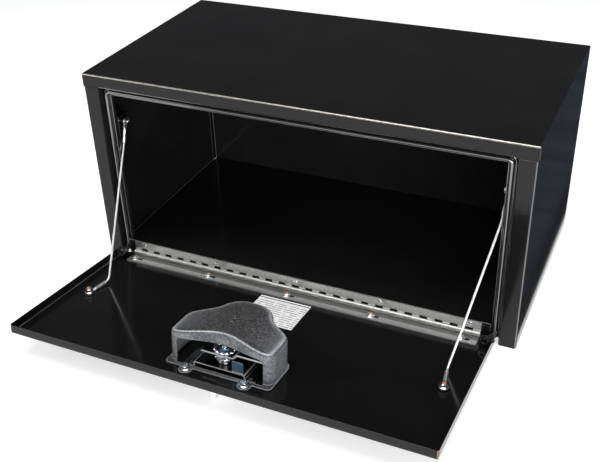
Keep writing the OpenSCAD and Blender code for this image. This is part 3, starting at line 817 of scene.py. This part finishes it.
# painted highlight on the header's top front bend
edge_faces(roof, BEND_HIGHLIGHT, (0, -0.7, 0.7))
for side, _ in SIDES:
    bracket = eased(side + "_bracket_sheet", side + "_cable_bracket", "box", "black_coat", THIN_BEND)
    # painted highlight on the bracket's edges
    edge_faces(bracket, BEND_HIGHLIGHT)
# the door's free edge has a painted highlight, and its right edge a painted warm reflection
skin = eased("door_skin", "door_panel", "door", "black_coat", THIN_BEND)
edge_faces(skin, BEND_HIGHLIGHT, (0, 0.7, 0.7), IN_LATCH)
edge_faces(skin, RIM_REFLECTION, (1, 0, 0.3), IN_LATCH, beyond=0.3)
eased("fixed_leaf", "hinge_fixed_leaf", "box", "hinge_steel", 0.3)
eased("swinging_leaf", "hinge_door_leaf", "door", "hinge_steel", 0.3, material=LEAF_PAINTED_SHADE)
eased("handle_plate", "escutcheon", "door", "chrome_handle", 0.7, 3)
eased("plate_gasket", "escutcheon_gasket", "door", "seal_rubber", 0.25)
eased("handle_grip", "t_handle", "handle", "chrome_handle", 1.6, 4, material=BRIGHT_CHROME)
eased("lock_plug", "key_plug", "key", "chrome_handle", 0.35)
cut_sheet("mounting_bridge", "latch_bracket", "door", 0.85, tab=True)
cut_sheet("turning_arm", "latch_cam", "handle", 1.1)
eased("cross_pin", "handle_pin", "handle", "zinc_plate", 0.3)


# ---------------------------------------------------------------- latch cover
def curve(*handles, steps=8):
    """Bezier curve from the first of four points to the last."""
    a, b, c, d = (Vector(p) for p in handles)
    return [
        (1 - t) ** 3 * a + 3 * (1 - t) ** 2 * t * b + 3 * (1 - t) * t * t * c + t**3 * d
        for t in [k / steps for k in range(steps + 1)]
    ]


# half width, height, front and back of the cover; rise of its crown; radius of its front corners
COVER_X, COVER_H, COVER_FRONT, NOSE = 85, 60, 268, 151
CROWN, CORNER = 8, 11
# the front wall is dished by twice this depth, over this half width, and its upper lip leans in
DIP, DIP_X, LIP_SLOPE = 8, 70, 0.66


def dished(x):
    return DIP * (1 + math.cos(math.pi * x / DIP_X))


side_line = curve((0, NOSE), (24, NOSE), (36, 160), (43, 176))[1:]
side_line += curve((43, 176), (47, 187), (60, 193), (COVER_X - 9, 203))[1:]
side_line += curve((COVER_X - 9, 203), (COVER_X - 3, 207), (COVER_X, 212), (COVER_X, 221))[1:]
corner = [
    Vector((COVER_X - CORNER + CORNER * math.cos(a), COVER_FRONT - CORNER + CORNER * math.sin(a)))
    for a in [math.pi / 2 * k / 6 for k in range(7)]
]
dip = [Vector((x, COVER_FRONT - dished(x))) for x in [DIP_X * (1 - k / 7) for k in range(15)]]
cover_plan = [Vector((0, NOSE))] + side_line + corner + dip
cover_plan += [Vector((-p.x, p.y)) for p in reversed(side_line + corner)]


def inset(plan, d):
    """The outline moved in by d, or out where d is negative."""
    out = []
    for i, p in enumerate(plan):
        along = (plan[(i + 1) % len(plan)] - plan[i - 1]).normalized()
        out.append(p + d * Vector((-along.y, along.x)))
    return out


def prism(plan, low, high):
    return tube([[(p[0], p[1], z) for p in plan] for z in (low, high)])


def round_box(x0, x1, y0, y1, r, steps=6):
    """Outline of a rectangle with rounded corners."""
    out = []
    for cx, cy, a0 in ((x1 - r, y1 - r, 0), (x0 + r, y1 - r, 90), (x0 + r, y0 + r, 180), (x1 - r, y0 + r, 270)):
        for k in range(steps + 1):
            a = math.radians(a0 + 90 * k / steps)
            out.append((cx + r * math.cos(a), cy + r * math.sin(a)))
    return out


def block(shape, matrix=Matrix.Identity(4)):
    return built("block", [(*shape, matrix)])


def softened(shape, passes, voxel=1.7):
    """A block whose edges are rounded over, in millimetres."""
    remesh = dict(mode="VOXEL", voxel_size=voxel)
    return worked(block(shape), ("REMESH", remesh), ("SMOOTH", dict(factor=0.5, iterations=passes)))


def combine(start, operations):
    """The start mesh joined with or cut by each (operation, mesh) in turn."""
    helpers, steps = [], []
    for operation, mesh in operations:
        helpers.append(linked("helper", mesh))
        steps.append(("BOOLEAN", dict(operation=operation, solver="EXACT", object=helpers[-1])))
    steps.append(("REMESH", dict(mode="VOXEL", voxel_size=0.95)))
    steps.append(("SMOOTH", dict(factor=0.5, iterations=3)))
    out = worked(start, *steps)
    for helper in helpers:
        bpy.data.objects.remove(helper)
    return out


def ease(value, start, end):
    """0 before start, 1 past end, smooth between them; end may be the lower."""
    t = min(1.0, max(0.0, (value - start) / (end - start)))
    return t * t * (3 - 2 * t)


def at_cover_studs(profile, around):
    shape = spin(profile, around, closed=False)
    return [block(shape, shift(x, COVER_STUD_S)) for x in (-COVER_STUD_X, COVER_STUD_X)]


def latch_cover():
    """A moulded shell on a flange with two ears, open at the front, crowned across its top."""
    # smoothing draws the walls in by about this much, so they start outside
    shrink, mouth, ear_r, bore_r = 1.4, 72, 11, 3.2
    outer = softened(prism(inset(cover_plan, -shrink), -6, COVER_H - 0.2), 72)
    inner = softened(prism(inset(cover_plan, COVER_T - shrink), -9, COVER_H - COVER_T), 30)
    foot = block(prism(inset(cover_plan, -4), 0, COVER_T - 0.4))
    bar = block(prism(round_box(-COVER_X - 4, COVER_X + 4, 250, 280, 8), 0, COVER_T - 0.2))
    ear = [(0.3, 0), (ear_r, 0), (ear_r, 2.2), (10.2, 2.9), (7.6, 2.9), (7.2, 2.4), (0.3, 2.4)]
    # cut away: the inside, a window in the front wall, a slot in the flange behind it, and what hangs below
    window = block(prism(round_box(-mouth, mouth, COVER_T, 45, 6), -300, -235), turn("X", 90))
    slot = block(prism(round_box(-mouth, mouth, 232, 272, 2), -4, 12))
    under = block(prism(round_box(-120, 120, 100, 330, 2), -20, 0))
    bore = [(0.1, -3), (bore_r, -3), (bore_r, 6), (0.1, 6)]
    joins = [("UNION", m) for m in [foot, bar] + at_cover_studs(ear, 48)]
    cuts = [("DIFFERENCE", m) for m in [inner, window, slot, under] + at_cover_studs(bore, 32)]
    mesh = combine(outer, joins + cuts)
    radius = (COVER_X**2 + CROWN**2) / (2 * CROWN)
    for v in mesh.vertices:
        x, s, h = v.co
        if abs(x) < DIP_X:
            v.co.y += LIP_SLOPE * dished(x) * ease(s, 226, 246) * ease(h, COVER_H - 2, 40) * ease(h, 6, 20)
        drop = radius - math.sqrt(radius**2 - min(abs(x), 100) ** 2)
        v.co.z -= drop * max(0.0, h) / COVER_H
    mesh = worked(mesh, ("DECIMATE", dict(ratio=0.3)))
    mesh.transform(DOOR)
    mesh.flip_normals()
    smooth_piece("moulded_cover", mesh, "door", "cover_plastic", ["latch_cover"], 55)


latch_cover()
moulded_marks = [(*dome(1.7, 1.0), DOOR @ shift(x, y, COVER_H - 0.75)) for x, y in ((-6, 207), (-6, 218))]
piece("cover_marks", moulded_marks, "door", "cover_plastic", angle=60)


# ---------------------------------------------------------------- latch inside the cover
def beaded_dish():
    """Cup washer that flares up to a string of pressed beads."""
    around, across, beads = 176, 14, 11
    ring_r, ring_z, bead_out, bead_up, waist = 15.0, 6.2, 2.95, 2.75, 0.12
    rings = []
    for j in range(across):
        t = 2 * math.pi * j / across
        ring = []
        for k in range(around):
            a = 2 * math.pi * k / around
            swell = waist + (1 - waist) * abs(math.sin(beads / 2 * a)) ** 0.8
            r, z = ring_r + bead_out * swell * math.cos(t), ring_z + bead_up * swell * math.sin(t)
            ring.append((r * math.cos(a), r * math.sin(a), z))
        rings.append(ring)
    dish = spin([(5.1, 0.1), (11.4, 0.1), (15.6, 4.6), (15.2, 6.4), (10.9, 1.8), (5.1, 1.8)], 72)
    return [tube(rings, closed=True, caps=False), dish]


def scalloped_nut(bore, flange, across, height, lobes=10):
    """Hexagon lock nut on a scalloped collar."""
    verts, faces = flange_nut(bore, flange, across, height)
    out = []
    for x, y, z in verts:
        r, a = math.hypot(x, y), math.atan2(y, x)
        if r > flange * 0.85:
            r *= 0.93 + 0.07 * abs(math.sin(lobes / 2 * a)) ** 0.7
        out.append((r * math.cos(a), r * math.sin(a), z))
    return out, faces


def coil(radius, wire_r, low, high, turns):
    """Compression spring whose ends close up."""
    per_turn, rings = 36, []
    steps = per_turn * turns
    for i in range(steps + 1):
        a = 2 * math.pi * i / per_turn
        t = i / steps
        z = low + (high - low) * (t - 0.06 * math.sin(2 * math.pi * t))
        ring = []
        for k in range(10):
            b = 2 * math.pi * k / 10
            r = radius + wire_r * math.cos(b)
            ring.append((r * math.cos(a), r * math.sin(a), z + wire_r * math.sin(b)))
        rings.append(ring)
    return tube(rings)


CAM_TOP, DISH_T = 25.5, 1.8
dish = [(*part, LATCH @ shift(0, 0, CAM_TOP)) for part in beaded_dish()]
piece("beaded_washer", dish, "handle", "zinc_plate", "cup_washer", angle=60)
lock_nut = [(*scalloped_nut(5.0, 10, 14, 7), LATCH @ shift(0, 0, CAM_TOP + DISH_T) @ turn("Z", 12))]
piece("arm_lock_nut", lock_nut, "handle", "zinc_plate", "cam_nut").data.materials[0] = BLUE_ZINC
spring = [(*coil(9.6, 1.15, 11, 19.7, 4), LATCH)]
piece("spring_wire", spring, "handle", "spring_steel", "latch_spring", angle=60)
seat = spin([(7.1, 21), (11, 21), (15.7, 19.1), (16, 19.2), (16, 20.2), (11.4, 22.4), (7.1, 22.4)], 96)
seat_ring = spin([(13.2, 20.2), (13.9, 19.6), (14.6, 20.2), (14.4, 21.2), (13.4, 21.6)], 96)
piece("spring_cup", [(*seat, LATCH), (*seat_ring, LATCH)], "handle", "zinc_plate", "spring_seat")
stem = spin([(0.2, -14.6), (6.6, -14.6), (7, -14.2), (7, 22.1), (6.6, 22.5), (0.2, 22.5)], 40, closed=False)
piece("spindle", [(*stem, LATCH), (*thread(5, 22.4, 39, 1.5), LATCH)], "handle", "zinc_plate", "latch_shaft")


# ---------------------------------------------------------------- seal ends
def tail():
    """Loose end of the bulb seal: a ribbed tube that opens out, hollow at its mouth."""
    route = curve((-346, 10.4, 19.5), (-346.5, 9.5, 11), (-341, -7, 15.5), (-336, -27, 25.5), steps=24)
    path = even(route, 1.1)
    start_r, opens, groove, lip, wall, around = 4.35, 2.95, 0.55, 1.4, 1.7, 32
    last, places = len(path) - 1, frames_along(path)
    ribbed = [i % 4 == 2 and i < last - 2 for i in range(last + 1)]
    radius = [start_r + opens * i / last - (groove if rib else 0) for i, rib in enumerate(ribbed)]
    # along the outside, over the lip, and back down the hollow mouth
    rings = list(zip(places, radius)) + [(places[last], radius[last] - lip)]
    rings += [(places[i - 1], radius[i] - wall) for i in range(last, last - 12, -1)]
    angles = [2 * math.pi * k / around for k in range(around)]
    return tube([
        [p + r * (math.cos(a) * side + math.sin(a) * up) for a in angles] for (p, side, up), r in rings
    ])


loose_end = tail()
for side, flip in SIDES:
    place = flip @ FACE
    ends = (tuple(place @ Vector((-346, 10, 15))), tuple(place @ Vector((-341, -8, 16.5))))
    end = [(*loose_end, place)]
    piece(side + "_seal_end", end, "box", "seal_rubber", side + "_seal_tail", blend=ends, angle=50)


# ---------------------------------------------------------------- floor, light, camera (metres)
def sheet(name, x0, x1, y0, y1, z, mat):
    """A flat piece of staging."""
    mesh = bpy.data.meshes.new(name)
    mesh.from_pydata([(x0, y0, 0), (x1, y0, 0), (x1, y1, 0), (x0, y1, 0)], [], [(0, 1, 2, 3)])
    mesh.materials.append(mat)
    obj = linked(name, mesh)
    obj.location.z = z
    return obj


FLOOR, GAP = 9.0, 0.0005
ground = min(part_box(n)[0].z for n in frame["nodes"]) - GAP
pale = Nodes("pale_floor")
pale.set(Roughness=0.9, Emission_Strength=0.56, Specular_IOR_Level=0.1, Emission_Color=(1, 1, 1, 1))
pale.colour(pale.ramp(pale.noise(3, 2), [(0.3, 0.86), (0.7, 0.89)]))
sheet("floor", -FLOOR, FLOOR, -FLOOR, FLOOR, ground, pale.mat)


def softbox(name, at, look, size, power, colour=(1, 1, 1)):
    data = bpy.data.lights.new(name, "AREA")
    data.shape = "RECTANGLE"
    data.size, data.size_y = size
    data.energy = power
    data.color = colour
    obj = linked(name, data)
    obj.location = at
    obj.rotation_euler = (Vector(look) - Vector(at)).to_track_quat("-Z", "Y").to_euler()
    obj.visible_camera = False


softbox("overhead", (0.1, -0.5, 2.4), (0, -0.2, 0.1), (2.2, 1.6), 50)
softbox("left_key", (-1.9, -1.5, 1.5), (0, -0.1, 0.2), (1.0, 1.2), 14, (1, 0.98, 0.95))
softbox("right_fill", (2.3, -0.3, 1.4), (0, 0, 0.2), (1.0, 1.4), 8, (0.86, 0.93, 1))
softbox("front_fill", (1.3, -2.1, 0.45), (-0.05, 0, 0.15), (2.0, 0.4), 42)

world = bpy.data.worlds.new("studio")
bpy.context.scene.world = world
world.use_nodes = True
sky = world.node_tree.nodes["Background"].inputs
sky["Color"].default_value = (0.50, 0.52, 0.56, 1)
sky["Strength"].default_value = 0.17


def card_material(wall):
    """Black, with a faint blue glow in streaks that starts a little way out from the wall."""
    m = Nodes("black_card")
    m.set(Roughness=0.9, Specular_IOR_Level=0.0, Emission_Strength=0.10)
    away = m.tree.nodes.new("ShaderNodeSeparateXYZ")
    m.link(m.coords, away.inputs[0])
    lit = m.range(away.outputs["X"], 0.0, 1.0, wall + 0.016, wall + 0.03)
    glow = m.ramp(lit, [(0.0, (0.10, 0.11, 0.14)), (1.0, (0.42, 0.50, 0.68))])
    shade = m.ramp(m.noise(9, 3, 0.6, at=m.stretch((0, 1, 0))), [(0.35, 0.55), (0.65, 1.0)])
    m.link(m.mix(shade, (0, 0, 0), glow), m.bsdf.inputs["Emission Color"])
    m.colour(m.ramp(m.noise(3, 2), [(0.3, 0.008), (0.7, 0.012)]))
    return m.mat


# a dark card lying beside the right wall, which only glossy reflections see
right, back = cad_box[1][0], cad_box[1][1]
card = sheet("card", right + 0.004, right + 1.8, -back + 0.01, 3.5, ground + 2 * GAP, card_material(right))
card.visible_camera = card.visible_diffuse = card.visible_shadow = False

# the camera was fitted to the box's six visible corners in the picture
YAW, PITCH, ROLL = math.radians(25.902), math.radians(32.386), math.radians(-2.31)
cam_data = bpy.data.cameras.new("camera")
cam_data.lens = 54.576
cam_data.sensor_width = 36
cam_data.shift_x = 0.01284
cam_data.shift_y = 0.00517
cam = linked("camera", cam_data)
cam.matrix_world = (
    Matrix.Translation((0.5543, -1.3467, 0.9321))
    @ Matrix.Rotation(YAW, 4, "Z")
    @ Matrix.Rotation(math.pi / 2 - PITCH, 4, "X")
    @ Matrix.Rotation(ROLL, 4, "Z")
)
bpy.context.scene.camera = cam
bpy.context.scene.view_settings.view_transform = "Standard"
